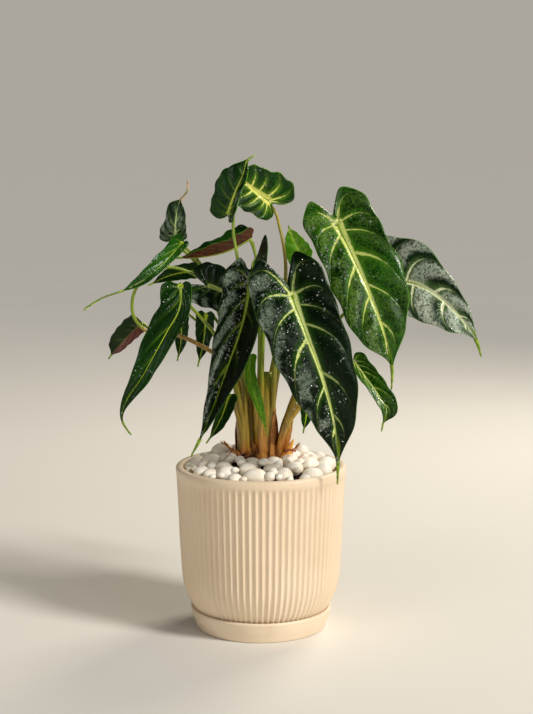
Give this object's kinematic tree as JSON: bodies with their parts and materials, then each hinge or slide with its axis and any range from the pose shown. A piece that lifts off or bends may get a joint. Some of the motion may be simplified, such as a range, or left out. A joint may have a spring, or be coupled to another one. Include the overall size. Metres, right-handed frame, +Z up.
{
  "type": "potted plant",
  "caption": "Potted alocasia with glossy arrow-shaped leaves, pale veins and drip tips, in a fluted cream ceramic pot on its saucer, topped with white pebbles.",
  "frame": {"origin": "centre of the saucer's flat underside, on the surface the plant stands on", "axes": "+Z up; -Y is the front, where the largest leaves hang; +X is to the right when seen from the front"},
  "size_m": [0.3493, 0.155, 0.4233],
  "materials": {
    "ceramic_cream": "satin",
    "soil": "matte",
    "white_stone": "satin",
    "leaf_green": "gloss",
    "leaf_dark": "gloss",
    "leaf_light": "satin",
    "leaf_maroon": "satin",
    "stalk": "satin",
    "dry_root": "matte"
  },
  "bodies": {
    "root": {"pot": "ceramic_cream", "saucer": "ceramic_cream", "soil": "soil", "pebble_bed": "white_stone", "pebble_01": "white_stone", "pebble_02": "white_stone", "pebble_03": "white_stone", "pebble_04": "white_stone", "pebble_05": "white_stone", "pebble_06": "white_stone", "pebble_07": "white_stone", "pebble_08": "white_stone", "pebble_09": "white_stone", "pebble_10": "white_stone", "pebble_11": "white_stone", "pebble_12": "white_stone", "leaf_front_large": "leaf_dark", "leaf_front_left": "leaf_dark", "leaf_right_large": "leaf_green", "leaf_right_far": "leaf_green", "leaf_right_twisted": "leaf_green", "leaf_top_heart": "leaf_light", "leaf_top_upright": "leaf_green", "leaf_tip_small": "leaf_green", "leaf_left_long": "leaf_green", "leaf_left_hanging": "leaf_green", "leaf_left_middle": "leaf_dark", "leaf_left_folded": "leaf_maroon", "leaf_maroon": "leaf_maroon", "leaf_left_curl": "leaf_light", "leaf_back_left_a": "leaf_light", "leaf_back_left_b": "leaf_green", "leaf_back_light": "leaf_light", "leaf_inner_bright": "leaf_light", "leaf_inner_dark": "leaf_dark", "leaf_inner_small": "leaf_dark", "stalks_left": "stalk", "stalks_centre": "stalk", "stalks_right": "stalk", "root_curl": "dry_root"}
  },
  "joints": []
}
